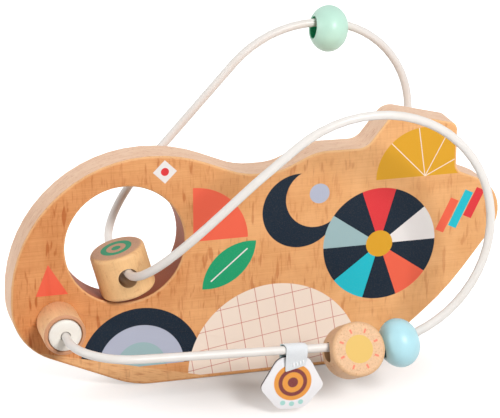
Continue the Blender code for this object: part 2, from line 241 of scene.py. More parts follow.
class Nodes:
    """A node tree written as expressions."""

    def __init__(self, tree):
        self.tree = tree

    def node(self, kind, settings=None, inputs=(), output=0):
        """Add a node; settings come first, then inputs by position or by name."""
        made = self.tree.nodes.new(kind)
        for key, value in (settings or {}).items():
            if key == "stops":
                self.set_stops(made.color_ramp, value)
            else:
                setattr(made, key, value)
        pairs = inputs.items() if isinstance(inputs, dict) else enumerate(inputs)
        for key, value in pairs:
            self.feed(made.inputs[key], value)
        return Socket(self, made.outputs[output])

    def set_stops(self, ramp, stops):
        """Hard-edged ramp from (position, colour) pairs."""
        ramp.interpolation = "CONSTANT"
        while len(ramp.elements) < len(stops):
            ramp.elements.new(1.0)
        for element, (position, tone) in zip(ramp.elements, stops):
            element.position = position
            element.color = (*tone, 1.0)

    def feed(self, socket, value):
        if isinstance(value, Socket):
            self.tree.links.new(value.output, socket)
        elif socket.type == "RGBA" and len(value) == 3:
            socket.default_value = (*value, 1.0)
        else:
            socket.default_value = value

    def ramp(self, value, low, high):
        """0 at low, 1 at high and straight between them."""
        return self.node("ShaderNodeMapRange", inputs={"Value": value, "From Min": low, "From Max": high})

    def mix(self, share, first, second):
        inputs = {0: share, 6: first, 7: second}
        return self.node("ShaderNodeMix", {"data_type": "RGBA"}, inputs, 2)

    def seen(self):
        """1 for the camera and for clear reflections, 0 for light on the object."""
        rays = [self.node("ShaderNodeLightPath", output=f"Is {kind} Ray")
                for kind in ("Camera", "Glossy", "Transmission")]
        return rays[0] | rays[1] | rays[2]


class Finish(Nodes):
    """A piece's material."""

    def __init__(self, name):
        self.material = bpy.data.materials.new(name)
        self.material.use_nodes = True
        super().__init__(self.material.node_tree)
        self.shader = self.tree.nodes["Principled BSDF"]

    def set(self, **values):
        """Values or links of the surface shader, with underscores for spaces."""
        for name, value in values.items():
            self.feed(self.shader.inputs[name.replace("_", " ")], value)

    def place(self):
        """Place on the piece itself, in millimetres."""
        spot = self.node("ShaderNodeTexCoord", output="Object")
        return self.vector("SCALE", spot, Scale=1 / MM)

    def vector(self, operation, *values, output=0, **named):
        inputs = {**dict(enumerate(values)), **named}
        return self.node("ShaderNodeVectorMath", {"operation": operation}, inputs, output)

    def split(self, vector):
        return [self.node("ShaderNodeSeparateXYZ", inputs=(vector,), output=axis) for axis in "XYZ"]

    def join(self, x, y, z):
        return self.node("ShaderNodeCombineXYZ", inputs=(x, y, z))

    def noise(self, vector, stretch, detail=2.0):
        """Cloudy pattern from 0 to 1; stretch gives the repeats per millimetre along each axis."""
        scaled = self.vector("MULTIPLY", vector, stretch)
        return self.node("ShaderNodeTexNoise", inputs={"Vector": scaled, "Scale": 1.0, "Detail": detail})

    def bump(self, height, strength, depth):
        """Relief of the surface; depth is in millimetres."""
        inputs = {"Height": height, "Strength": strength, "Distance": depth * MM}
        self.set(Normal=self.node("ShaderNodeBump", inputs=inputs))


class Sketch:
    """Flat motifs in millimetres on one plane of a piece, as soft-edged masks."""

    def __init__(self, finish, across, up, soft=INK_EDGE):
        self.finish = finish
        self.across = across
        self.up = up
        self.soft = soft
        self.spot = finish.join(across, 0.0, up)

    def under(self, value, limit):
        """1 below the limit and 0 above it."""
        return self.finish.ramp(value, limit + self.soft, limit - self.soft)

    def disc(self, centre, radius):
        middle = (centre[0], 0.0, centre[1])
        return self.under(self.finish.vector("DISTANCE", self.spot, middle, output="Value"), radius)

    def along(self, degrees):
        """Distance in one direction."""
        turn = math.radians(degrees)
        direction = (math.cos(turn), 0.0, math.sin(turn))
        return self.finish.vector("DOT_PRODUCT", self.spot, direction, output="Value")

    def side(self, point, degrees):
        """Half plane behind a line through the point; the angle points away from it."""
        turn = math.radians(degrees)
        return self.under(self.along(degrees), point[0] * math.cos(turn) + point[1] * math.sin(turn))

    def bar(self, centre, size, width, degrees):
        """Rectangle with its long side in the given direction."""
        turn = math.radians(degrees)
        reach = centre[0] * math.cos(turn) + centre[1] * math.sin(turn)
        offset = centre[1] * math.cos(turn) - centre[0] * math.sin(turn)
        lengthwise = self.under(abs(self.along(degrees) - reach), size / 2)
        return lengthwise * self.under(abs(self.along(degrees + 90) - offset), width / 2)

    def polygon(self, corners):
        """Convex shape with its corners listed clockwise."""
        mask = None
        for (x0, z0), (x1, z1) in zip(corners, corners[1:] + corners[:1]):
            outward = math.degrees(math.atan2(z1 - z0, x1 - x0)) + 90
            edge = self.side((x0, z0), outward)
            mask = edge if mask is None else mask * edge
        return mask

    def lines(self, spacing, degrees, half_width):
        """Evenly spaced thin lines across the given direction."""
        phase = self.along(degrees).math("PINGPONG", self.along(degrees), spacing / 2)
        return self.under(phase, half_width)

    def bearing(self, centre):
        """Direction from a centre, from 0 to 1 round the circle."""
        turn = self.up - centre[1]
        turn = turn.math("ARCTAN2", turn, self.across - centre[0])
        return turn / math.tau + 0.5


def clockwise(corners):
    area = sum(x0 * z1 - x1 * z0 for (x0, z0), (x1, z1) in zip(corners, corners[1:] + corners[:1]))
    return corners if area < 0 else corners[::-1]


def beech(finish, grain, light, deep, fleck, fleck_share=0.6):
    """Solid beech; grain runs (along the fibres, across them, along the rays) in millimetres.

    Returns the colour and the relief.
    """
    fibre = finish.noise(grain, (0.025, 2.2, 2.2), 3.0)
    drift = finish.noise(grain, (0.01, 0.05, 0.04), 3.0)
    mottle = finish.noise(grain, (0.12, 0.5, 0.1), 3.0)
    rays = finish.noise(grain, (0.34, 1.1, 0.075), 2.0)
    ticks = finish.noise(grain, (1.1, 2.4, 0.16), 1.0)
    pores = finish.noise(grain, (0.3, 5.0, 5.0), 1.0)
    tone = finish.ramp(drift, 0.3, 0.7) * 0.34 + finish.ramp(mottle, 0.3, 0.72) * 0.36
    tone = tone + finish.ramp(fibre, 0.3, 0.7) * 0.3
    shade = finish.mix(tone, light, deep)
    broad = finish.ramp(rays, 0.61, 0.68)
    fine = finish.ramp(ticks, 0.54, 0.7) * finish.ramp(mottle, 0.32, 0.58)
    shade = finish.mix(broad * fleck_share, shade, fleck)
    shade = finish.mix(fine * (fleck_share * 0.6), shade, fleck)
    dark_pores = finish.ramp(pores, 0.62, 0.74)
    shade = finish.mix(dark_pores * 0.22, shade, fleck)
    return shade, fibre - dark_pores * 0.6 - fine * 0.25


def board_print(finish, sketch, base, ink):
    """Generic sun, moon, hill and pinwheel print over the bare wood."""
    def paint(mask, tone):
        nonlocal base
        base = finish.mix(mask, base, tone)

    corner, reach = QUARTER
    paint(sketch.disc(corner, reach) * sketch.side(corner, 180) * sketch.side(corner, 270), ink.coral)
    centre, radii = ARCH
    above = sketch.side(centre, 270)
    for radius, tone in zip(radii, (ink.navy, ink.lilac, ink.greyblue)):
        paint(sketch.disc(centre, radius) * above, tone)
    spacing, tilt, half_line = HILL_GRID
    lines = sketch.lines(spacing, tilt, half_line) | sketch.lines(spacing, tilt + 90, half_line)
    hill = sketch.disc(*HILL) * sketch.side(HILL[0], 270)
    paint(hill, finish.mix(lines, ink.cream, ink.grid))
    paint(sketch.disc(*MOON) * (1 - sketch.disc(*MOON_BITE)), ink.navy)
    paint(sketch.disc(*MOON_STAR), ink.lilac)
    middle, radius, offset, tilt = LEAF
    turn = math.radians(tilt + 90)
    shift = (offset * math.cos(turn), offset * math.sin(turn))
    leaf = sketch.disc((middle[0] + shift[0], middle[1] + shift[1]), radius)
    leaf = leaf * sketch.disc((middle[0] - shift[0], middle[1] - shift[1]), radius)
    vein = sketch.bar(middle, radius, LEAF_VEIN * 2, tilt)
    paint(leaf, finish.mix(vein, ink.green, ink.white))
    wedges = (ink.navy, ink.turquoise, ink.navy, ink.coral, ink.navy, ink.white, ink.navy, ink.red,
              ink.navy, ink.greyblue)
    stops = [(i / len(wedges), tone) for i, tone in enumerate(wedges)]
    wheel = finish.node("ShaderNodeValToRGB", {"stops": stops}, (sketch.bearing(PINWHEEL[0]),))
    paint(sketch.disc(*PINWHEEL), wheel)
    paint(sketch.disc(PINWHEEL[0], PINWHEEL_HUB), ink.mustard)
    paint(sketch.disc(*SUN) * sketch.side(SUN[0], 270), ink.mustard)
    for degrees in SUN_RAYS:
        ray = sketch.bar(SUN[0], SUN[1] * 2, SUN_LINE * 2, degrees)
        paint(ray * sketch.disc(*SUN) * sketch.side(SUN[0], 270), ink.cream)
    paint(sketch.polygon(clockwise(list(PENNANT))), ink.coral)
    spot, half = DIAMOND
    points = [(spot[0] + half, spot[1]), (spot[0], spot[1] + half), (spot[0] - half, spot[1]),
              (spot[0], spot[1] - half)]
    paint(sketch.polygon(clockwise(points)), ink.white)
    paint(sketch.disc(spot, DIAMOND_DOT), ink.red)
    for (spot, size), tone in zip(BARS, (ink.coral, ink.turquoise, ink.red)):
        paint(sketch.bar(spot, size, BAR_WIDTH, BAR_ANGLE), tone)
    return base


def board_finish(wood, ink):
    """Oiled beech with a print on its front face, painted highlights along its rims and painted shade on
    the hand hole's wall.
    """
    finish = Finish("board_beech")
    spot = finish.place()
    x, y, z = finish.split(spot)
    heart = finish.ramp(x + 60.0 * finish.noise(spot, (0.006, 0.006, 0.03)), 90.0, -70.0)
    light = finish.mix(heart * 0.8, wood.face, wood.heart)
    deep = finish.mix(heart * 0.8, wood.face_deep, wood.heart_deep)
    face, relief = beech(finish, spot, light, deep, wood.fleck, 0.3 + 0.5 * heart)
    edge, _ = beech(finish, spot, wood.edge, wood.edge_deep, wood.fleck, 0.3)
    hole_x, hole_z, hole_r = HAND_HOLE
    from_hole = finish.vector("DISTANCE", finish.join(x, 0.0, z), (hole_x, 0.0, hole_z), output="Value")
    # Painted shade: the hand hole's wall takes a dark red-brown
    edge = finish.mix(finish.ramp(from_hole, hole_r + 0.9, hole_r + 0.3) * 0.97, edge, wood.hole)
    half = (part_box("board")[1].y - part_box("board")[0].y) / 2 / MM
    side = finish.ramp(abs(y), half - 0.7, half - 1.2)
    # Painted highlight: a paler colour along the softened rims of the faces, broken up with the grain
    rim_highlight = finish.ramp(abs(y), half - 0.02, half - 0.3) * finish.ramp(relief, -0.2, 0.6)
    bare = finish.mix(side, finish.mix(rim_highlight * 0.6, face, wood.rim), edge)
    sketch = Sketch(finish, x, z)
    front = finish.ramp(y, 0.02 - half, 0.01 - half)
    strip = sketch.side(*BARE_EDGE) * front
    dashes = finish.noise(finish.join(sketch.along(BARE_EDGE[1] - 90), 0.0, sketch.along(BARE_EDGE[1])),
                          (0.16, 1.0, 1.9), 2.0)
    bare = finish.mix(strip * 0.45, bare, wood.rim)
    bare = finish.mix(strip * finish.ramp(dashes, 0.52, 0.68) * 0.55, bare, wood.fleck)
    printed = board_print(finish, sketch, bare, ink)
    linen = finish.noise(spot, (2.6, 2.6, 2.6), 1.0)
    printed = finish.mix(finish.ramp(linen, 0.5, 0.8) * 0.025, printed, wood.rim)
    printable = front * (1 - strip) * (1 - sketch.side((0.0, BARE_FOOT), 90))
    cover = finish.ramp(relief, -0.45, 0.1) * 0.03 + 0.97
    shade = finish.mix(printable * cover, bare, printed)
    finish.set(Base_Color=shade, Roughness=0.44 + 0.18 * relief, Specular_IOR_Level=0.16)
    finish.bump(relief, 0.25, 0.12)
    return finish.material


def post_finish(wood):
    """Turned beech with its fibres along the stand-off."""
    finish = Finish("post_beech")
    x, y, z = finish.split(finish.place())
    deep = [channel * 0.8 for channel in wood.post]
    shade, relief = beech(finish, finish.join(y, x, z), wood.post, deep, wood.fleck, 0.22)
    low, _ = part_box("post_front")
    mouth = finish.ramp(abs(y), -low.y / MM - 1.1, -low.y / MM - 0.4)
    shade = finish.mix(mouth, shade, wood.post_end)
    finish.set(Base_Color=shade, Roughness=0.5 + 0.12 * relief, Specular_IOR_Level=0.35)
    finish.bump(relief, 0.22, 0.1)
    return finish.material


def bead_finish(name, wood, size, side, end, motif):
    """Turned bead: end grain on the round faces, fibres along its side, a printed motif on one face, a
    painted highlight round the bore mouths and painted shade inside the bore.
    """
    finish = Finish(name)
    spot = finish.place()
    x, y, z = finish.split(spot)
    radius, length, _ = size
    half = length / 2
    deep = [channel * 0.78 for channel in side]
    shade, relief = beech(finish, finish.join(z, x, y), side, deep, wood.fleck, 0.22)
    rings = finish.noise(spot, (0.9, 0.9, 0.1), 3.0)
    face = finish.mix(finish.ramp(rings, 0.35, 0.7) * 0.6, end, [channel * 0.72 for channel in end])
    speck = finish.noise(spot, (1.5, 1.5, 0.3), 1.0)
    face = finish.mix(finish.ramp(speck, 0.6, 0.72) * 0.5, face, wood.fleck)
    on_face = finish.ramp(abs(z), half - 0.5, half - 0.05)
    shade = finish.mix(on_face * 0.8, shade, face)
    sketch = Sketch(finish, x, y)
    shade = finish.mix(finish.ramp(z, half - 0.05, half - 0.02), shade, motif(finish, sketch, shade))
    # Painted shade: the inside of the bore is darkened towards the bore colour
    from_bore = finish.vector("LENGTH", finish.join(0.0, y, z), output="Value")
    bore_shade = finish.ramp(from_bore, BEAD_BORE + 0.02, BEAD_BORE - 0.02)
    bore_shade = bore_shade * finish.ramp(abs(x), radius + 1.0, radius - 0.4)
    # Painted highlight: a pale ring round each bore mouth on the bead's side, standing in for a lit
    # chamfer
    lip_highlight = finish.ramp(from_bore, BEAD_BORE + 0.7, BEAD_BORE + 0.1) * (1 - on_face)
    shade = finish.mix(lip_highlight * 0.5, shade, wood.rim)
    shade = finish.mix(bore_shade * 0.75, shade, wood.bore)
    finish.set(Base_Color=shade, Roughness=0.46 + 0.14 * relief, Specular_IOR_Level=0.4)
    finish.bump(relief, 0.2, 0.1)
    return finish.material


def painted_finish(name, tone, bore_shade_tone, bore_r):
    """Satin paint over turned wood, with painted shade inside the bore; the bore runs along the bead's own
    Z.
    """
    finish = Finish(name)
    spot = finish.place()
    x, y, _ = finish.split(spot)
    cloud = finish.noise(spot, (0.12, 0.12, 0.12), 3.0)
    peel = finish.noise(spot, (2.0, 2.0, 2.0), 2.0)
    deep = [channel * 0.86 for channel in tone]
    shade = finish.mix(finish.ramp(cloud, 0.35, 0.7) * 0.5, tone, deep)
    radius = finish.vector("LENGTH", finish.join(x, y, 0.0), output="Value")
    # Painted shade: the inside of the bore turns to a darker, deeper colour
    bore_shade = finish.ramp(radius, bore_r + 0.5, bore_r + 0.05)
    shade = finish.mix(bore_shade, shade, bore_shade_tone)
    finish.set(Base_Color=shade, Roughness=0.38 + 0.1 * cloud, Coat_Weight=0.2, Coat_Roughness=0.32)
    finish.bump(peel, 0.12, 0.06)
    return finish.material


def coated_finish(name, tone, gloss, mottle):
    """White coating with faint unevenness."""
    finish = Finish(name)
    spot = finish.place()
    cloud = finish.noise(spot, (0.15, 0.15, 0.15), 3.0)
    peel = finish.noise(spot, (1.6, 1.6, 1.6), 2.0)
    warm = (tone[0] * 0.95, tone[1] * 0.91, tone[2] * 0.86)
    shade = finish.mix(finish.ramp(cloud, 0.4, 0.75) * mottle, tone, warm)
    finish.set(Base_Color=shade, Roughness=gloss + 0.12 * cloud, Specular_IOR_Level=0.3,
               Coat_Weight=0.06, Coat_Roughness=0.35)
    finish.bump(peel, 0.12, 0.06)
    return finish.material


def weave(finish, spot, pitch):
    """Height of a plain weave in the piece's own XZ plane."""
    x, _, z = finish.split(spot)
    warp = x.math("SINE", x * (math.tau / pitch))
    weft = z.math("SINE", z * (math.tau / pitch))
    return warp * weft * 0.5 + 0.5


# Print of the tag, in millimetres: a disc, a ring and a spot on one centre, and three dots under them
COTTON_PITCH = 0.42
RIBBON_PITCH = 0.36
COTTON_INK_EDGE = 0.18
TAG_CENTRE_SHARE = 0.48
TAG_DISC_R = 8.8
TAG_RING = (6.7, 4.9)
TAG_SPOT_R = 2.4
TAG_DOT_R = 1.2
TAG_DOT_PITCH = 4.2
TAG_DOT_DROP = 10.6
TAG_DOT_RISE = 0.7


def tag_front_finish(tag):
    """Printed cotton: pale border, a warm disc with rings in it and a row of dots."""
    finish = Finish("tag_print")
    spot = finish.place()
    x, _, z = finish.split(spot)
    sketch = Sketch(finish, x, z, COTTON_INK_EDGE)
    threads = weave(finish, spot, COTTON_PITCH)
    centre = (0.0, -(tag.top + tag.height * TAG_CENTRE_SHARE) / MM)
    shade = finish.mix(sketch.disc(centre, TAG_DISC_R), tag.border, tag.field)
    outer, inner = TAG_RING
    rings = sketch.disc(centre, outer) * (1 - sketch.disc(centre, inner)) | sketch.disc(centre, TAG_SPOT_R)
    shade = finish.mix(rings, shade, tag.ring)
    for step in (-1, 0, 1):
        dot = (step * TAG_DOT_PITCH, centre[1] - TAG_DOT_DROP + abs(step) * TAG_DOT_RISE)
        shade = finish.mix(sketch.disc(dot, TAG_DOT_R), shade, tag.dots)
    fuzz = finish.noise(spot, (1.2, 1.2, 1.2), 3.0)
    shade = finish.mix((1 - threads) * 0.1 + fuzz * 0.06, shade, [channel * 0.8 for channel in tag.border])
    finish.set(Base_Color=shade, Roughness=0.85, Sheen_Weight=0.15, Sheen_Roughness=0.5,
               Specular_IOR_Level=0.2)
    finish.bump(threads + fuzz * 0.5, 0.35, 0.12)
    return finish.material


def cloth_finish(name, tone, pitch, sheen):
    """Plain woven cloth."""
    finish = Finish(name)
    spot = finish.place()
    threads = weave(finish, spot, pitch)
    fuzz = finish.noise(spot, (1.5, 1.5, 1.5), 3.0)
    deep = [channel * 0.78 for channel in tone]
    shade = finish.mix((1 - threads) * 0.5 + fuzz * 0.3, tone, deep)
    finish.set(Base_Color=shade, Roughness=0.8, Sheen_Weight=sheen, Sheen_Roughness=0.4,
               Specular_IOR_Level=0.25)
    finish.bump(threads + fuzz * 0.4, 0.4, 0.1)
    return finish.material


def thread_finish(tone):
    """Twisted sewing thread."""
    finish = Finish("thread")
    x, _, z = finish.split(finish.place())
    twist = x.math("SINE", (x + z) * 14.0)
    shade = finish.mix(twist * 0.2 + 0.2, tone, [channel * 0.7 for channel in tone])
    finish.set(Base_Color=shade, Roughness=0.7, Sheen_Weight=0.3)
    finish.bump(twist, 0.4, 0.08)
    return finish.material


# Radius, length and rim radius of the two turned beads, in millimetres
DISC_SIZE = (12.5, 18.4, 1.6)
DRUM_SIZE = (12.9, 21.8, 2.2)
BEAD_BORE = 4.6
DISC_PITCH = 26.3
DRUM_TILT = 15.4
BALL_R = 11.3
BALL_REACH = 9.4
BALL_RIM = 0.9
BALL_LIP = 0.7
BLUE_BORE = 4.6
MINT_BORE = 5.2
TURN_SIDES = 96
TURN_STEPS = 44
CORNER_STEPS = 8


def smooth(piece, sharp=SHARP_ANGLE):
    """Round shading that keeps flat faces flat."""
    piece.data.shade_smooth()
    piece.data.set_sharp_from_angle(angle=math.radians(sharp))
    weighted = piece.modifiers.new("even shading", "WEIGHTED_NORMAL")
    weighted.keep_sharp = True
    weighted.weight = 100


def add_piece(name, bm, matrix=Matrix.Identity(4)):
    """New mesh object from a bmesh in metres."""
    bmesh.ops.recalc_face_normals(bm, faces=bm.faces)
    mesh = bpy.data.meshes.new(name)
    bm.to_mesh(mesh)
    bm.free()
    piece = bpy.data.objects.new(name, mesh)
    piece.matrix_world = matrix
    bpy.context.scene.collection.objects.link(piece)
    return piece


def fit(piece, body, slot, material, *nodes):
    """Give a piece its material and its place in the assembly."""
    piece.data.materials.append(material)
    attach(piece, body)
    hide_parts(*nodes)
    return piece


def refined(node, name, sharp=SHARP_ANGLE):
    """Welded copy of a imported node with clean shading."""
    bm = bmesh.new()
    bm.from_mesh(frame["nodes"][node].data)
    bmesh.ops.remove_doubles(bm, verts=bm.verts, dist=WELD)
    piece = add_piece(name, bm)
    smooth(piece, sharp)
    return piece


def revolve(profile, sides):
    """Spin a closed (radius, height) profile in millimetres about Z."""
    bm = bmesh.new()
    verts = [bm.verts.new((r * MM, 0.0, h * MM)) for r, h in profile]
    edges = [bm.edges.new((verts[i - 1], verts[i])) for i in range(len(verts))]
    bmesh.ops.spin(bm, geom=verts + edges, cent=(0, 0, 0), axis=(0, 0, 1), angle=math.tau,
                   steps=sides, use_merge=True)
    bmesh.ops.remove_doubles(bm, verts=bm.verts, dist=WELD)
    return bm


def middle_of(node):
    low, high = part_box(node)
    return (low + high) / 2


def facing(origin, z_axis, x_axis):
    """Matrix of a piece at origin with the given Z and X directions."""
    z_axis = Vector(z_axis).normalized()
    y_axis = z_axis.cross(Vector(x_axis)).normalized()
    x_axis = y_axis.cross(z_axis)
    turn = Matrix((x_axis, y_axis, z_axis)).transposed().to_4x4()
    return Matrix.Translation(origin) @ turn


def ball_profile(bore_r):
    """Oval section of a bead with a rolled mouth at each end of its bore."""
    rim = bore_r + BALL_RIM
    end = math.acos(rim / BALL_R)
    half = BALL_REACH * math.sin(end)
    side = []
    for i in range(TURN_STEPS + 1):
        a = end * (1 - 2 * i / TURN_STEPS)
        side.append((BALL_R * math.cos(a), BALL_REACH * math.sin(a)))
    mouth = []
    for i in range(1, CORNER_STEPS + 1):
        a = math.pi / 2 * i / CORNER_STEPS
        mouth.append((rim - BALL_RIM * math.sin(a), half - BALL_LIP * (1 - math.cos(a))))
    return mouth[::-1] + side + [(r, -h) for r, h in mouth]


def bead_profile(radius, length, edge):
    """Section of a short cylinder with softened rims."""
    half = length / 2
    profile = [(0.0, half)]
    for sign in (1, -1):
        corner = []
        for i in range(CORNER_STEPS + 1):
            a = math.pi / 2 * i / CORNER_STEPS
            corner.append((radius - edge * (1 - math.sin(a)), sign * (half - edge * (1 - math.cos(a)))))
        profile += corner if sign > 0 else corner[::-1]
    return profile + [(0.0, -half)]


def drill(piece, radius, depth):
    """Cut a bore along the piece's own X."""
    bm = bmesh.new()
    turn = Matrix.Rotation(math.pi / 2, 4, "Y")
    bmesh.ops.create_cone(bm, cap_ends=True, segments=TURN_SIDES, radius1=radius * MM,
                          radius2=radius * MM, depth=depth * MM, matrix=turn)
    cutter = add_piece("drill", bm, piece.matrix_world.copy())
    cut = piece.modifiers.new("bore", "BOOLEAN")
    cut.operation = "DIFFERENCE"
    cut.solver = "EXACT"
    cut.object = cutter
    keep_shape(piece)
    bpy.data.objects.remove(cutter)
    bm = bmesh.new()
    bm.from_mesh(piece.data)
    bmesh.ops.remove_doubles(bm, verts=bm.verts, dist=WELD)
    bmesh.ops.dissolve_degenerate(bm, edges=bm.edges, dist=WELD)
    bm.to_mesh(piece.data)
    bm.free()


def keep_shape(piece):
    """Apply every modifier of a piece."""
    bpy.context.view_layer.update()
    shaped = piece.evaluated_get(bpy.context.evaluated_depsgraph_get())
    mesh = bpy.data.meshes.new_from_object(shaped)
    piece.modifiers.clear()
    piece.data = mesh


# Prints on the ends of the turned beads, in millimetres round the middle
MIDDLE = (0.0, 0.0)
DISC_SUN_R = 6.4
STROKES = 8
STROKE_REACH = 8.6
STROKE_SIZE = (2.0, 0.9)
DRUM_RING = (7.4, 4.6)
DRUM_SPOT_R = 2.2


def sun_motif(ink):
    """Yellow disc ringed by short reddish strokes."""
    def draw(finish, sketch, base):
        shade = finish.mix(sketch.disc(MIDDLE, DISC_SUN_R), base, ink.yellow)
        for step in range(STROKES):
            degrees = 360 / STROKES * (step + 0.5)
            turn = math.radians(degrees)
            spot = (STROKE_REACH * math.cos(turn), STROKE_REACH * math.sin(turn))
            stroke = sketch.bar(spot, *STROKE_SIZE, degrees)
            shade = finish.mix(stroke * 0.8, shade, ink.coral)
        return shade
    return draw


def ring_motif(ink):
    """Green ring round a green dot."""
    def draw(finish, sketch, base):
        outer, inner = DRUM_RING
        ring = sketch.disc(MIDDLE, outer) * (1 - sketch.disc(MIDDLE, inner))
        return finish.mix(ring | sketch.disc(MIDDLE, DRUM_SPOT_R), base, ink.green)
    return draw


class RATTLE_OT_board(bpy.types.Operator):
    """Dress the board in oiled beech with its print"""
    bl_idname = "rattle.board"
    bl_label = "Board"

    def execute(self, context):
        looks = context.scene.rattle
        board = refined("board", "beech_board")
        fit(board, "frame", "beech", board_finish(looks.wood, looks.ink), "board")
        return {"FINISHED"}


class RATTLE_OT_stand_offs(bpy.types.Operator):
    """Dress the turned stand-offs and their plugs"""
    bl_idname = "rattle.stand_offs"
    bl_label = "Stand-offs"

    def execute(self, context):
        looks = context.scene.rattle
        wood = post_finish(looks.wood)
        white = coated_finish("plug_white", looks.paint.cap, 0.4, 0.6)
        for end in ("front", "rear"):
            post = refined("post_" + end, "stand_off_" + end)
            fit(post, "frame", "post_wood", wood, "post_" + end)
            plug = refined("cap_" + end, "plug_" + end)
            fit(plug, "frame", "white_cap", white, "cap_" + end)
        return {"FINISHED"}


class RATTLE_OT_wire(bpy.types.Operator):
    """Dress the bent wire in its white coating"""
    bl_idname = "rattle.wire"
    bl_label = "Wire"

    def execute(self, context):
        coating = coated_finish("wire_coating", context.scene.rattle.paint.wire, 0.28, 0.4)
        wire = refined("wire", "coated_wire", ROUND_ANGLE)
        fit(wire, "frame", "wire", coating, "wire")
        return {"FINISHED"}


class RATTLE_OT_turned_beads(bpy.types.Operator):
    """Make the two cross-drilled cylinder beads"""
    bl_idname = "rattle.turned_beads"
    bl_label = "Turned beads"

    def execute(self, context):
        looks = context.scene.rattle
        wood, ink = looks.wood, looks.ink
        pitch, tilt = math.radians(DISC_PITCH), math.radians(DRUM_TILT)
        run = JOINTS["disc_slide"]["axis"]
        through = JOINTS["drum_slide"]["axis"]
        disc_wood = bead_finish("disc_wood", wood, DISC_SIZE, wood.disc, wood.disc, sun_motif(ink))
        drum_wood = bead_finish("drum_wood", wood, DRUM_SIZE, wood.drum, wood.drum_end, ring_motif(ink))
        self.make("disc", "bead_wood", DISC_SIZE, (0, -math.cos(pitch), math.sin(pitch)), run, disc_wood)
        self.make("drum", "drum_wood", DRUM_SIZE, (-math.sin(tilt), 0, math.cos(tilt)), through, drum_wood)
        return {"FINISHED"}

    def make(self, body, slot, size, axis, bore, material):
        node = body + "_bead"
        bead = add_piece(body + "_turned", revolve(bead_profile(*size), TURN_SIDES),
                         facing(middle_of(node), axis, bore))
        drill(bead, BEAD_BORE, size[0] * 3)
        smooth(bead)
        fit(bead, body, slot, material, node)


class RATTLE_OT_painted_beads(bpy.types.Operator):
    """Make the two painted beads on the bent runs"""
    bl_idname = "rattle.painted_beads"
    bl_label = "Painted beads"

    def execute(self, context):
        paint = context.scene.rattle.paint
        blue = painted_finish("blue_paint", paint.blue, paint.blue_bore, BLUE_BORE)
        mint = painted_finish("mint_paint", paint.mint, paint.mint_bore, MINT_BORE)
        self.make("blue", "blue_travel", BLUE_BORE, blue)
        self.make("mint", "mint_travel", MINT_BORE, mint)
        return {"FINISHED"}

    def make(self, body, joint, bore_r, material):
        node = body + "_bead"
        outward = middle_of(node) - Vector(JOINTS[joint]["pos_m"])
        along = outward.cross(Vector((0, 1, 0)))
        bead = add_piece(body + "_turned", revolve(ball_profile(bore_r), TURN_SIDES),
                         facing(middle_of(node), along, outward))
        smooth(bead)
        fit(bead, body, body + "_paint", material, node)


PAD_SEGMENTS = 96
PAD_RINGS = 16
PAD_SIM_SCALE = 20.0
PAD_SIM_FRAMES = 20
PAD_PRESSURE = 3.0
RIBBON_IN_R = 2.5
RIBBON_COLUMNS = 12
RIBBON_SLANT = 1.4
RIBBON_SKEW = 0.8
RIBBON_GAP = 0.15
RIBBON_BEND = 3.0
RIBBON_TAPER = 0.04
RIBBON_FOLD_STEPS = 12
STITCHES = 4
STITCH_L = 2.3
STITCH_R = 0.36
STITCH_PITCH = 1.5
STITCH_SHIFT = 1.8
STITCH_RISE = 2.2
STITCH_RINGS = 9
STITCH_SIDES = 10


def tag_matrix():
    """Frame of the tag: origin on the wire, X along it and Z up."""
    joint = JOINTS["tag_swing"]
    along = Vector(joint["axis"])
    up = along.cross(Vector((0, 1, 0)))
    return facing(joint["pos_m"], up, along)


def tag_outline(matrix):
    """Outline of the tag's front layer, evenly spaced, round its middle in the tag's own XZ plane."""
    place = matrix.inverted()
    verts = frame["nodes"]["tag_front"].data.vertices
    spots = {tuple(round(c, 6) for c in (place @ v.co).xz) for v in verts}
    low, high = min(z for _, z in spots), max(z for _, z in spots)
    middle = (low + high) / 2
    ring = sorted((Vector((x, z - middle)) for x, z in spots), key=lambda v: math.atan2(v.y, v.x))
    ring.append(ring[0])
    runs = [(b - a).length for a, b in zip(ring, ring[1:])]
    step = sum(runs) / PAD_SEGMENTS
    outline, gone, at = [], 0.0, 0
    for i in range(PAD_SEGMENTS):
        while gone + runs[at] < i * step:
            gone += runs[at]
            at += 1
        outline.append(ring[at].lerp(ring[at + 1], (i * step - gone) / runs[at]))
    return outline, middle


def pad_mesh(tag, matrix):
    """Two cloth layers joined along a narrow wall at the rim, in metres."""
    bm = bmesh.new()
    outline, middle = tag_outline(matrix)
    half_rim = tag.rim / 2

    def ring(share, y):
        return [bm.verts.new((p.x * share, y, middle + p.y * share)) for p in outline]

    rows = []
    for i in range(1, PAD_RINGS + 1):
        rows.append(ring(i / PAD_RINGS, -half_rim))
    rows.append(ring(1.0, -half_rim * 0.2))
    rows.append(ring(1.0, half_rim * 0.4))
    for i in range(PAD_RINGS, 0, -1):
        rows.append(ring(i / PAD_RINGS, half_rim))
    for first, second in zip(rows, rows[1:]):
        for i in range(PAD_SEGMENTS):
            j = (i + 1) % PAD_SEGMENTS
            bm.faces.new((first[i], first[j], second[j], second[i]))
    for row, y in ((rows[0], -half_rim), (rows[-1], half_rim)):
        hub = bm.verts.new((0.0, y, middle))
        for i in range(PAD_SEGMENTS):
            bm.faces.new((row[i], row[(i + 1) % PAD_SEGMENTS], hub))
    return bm


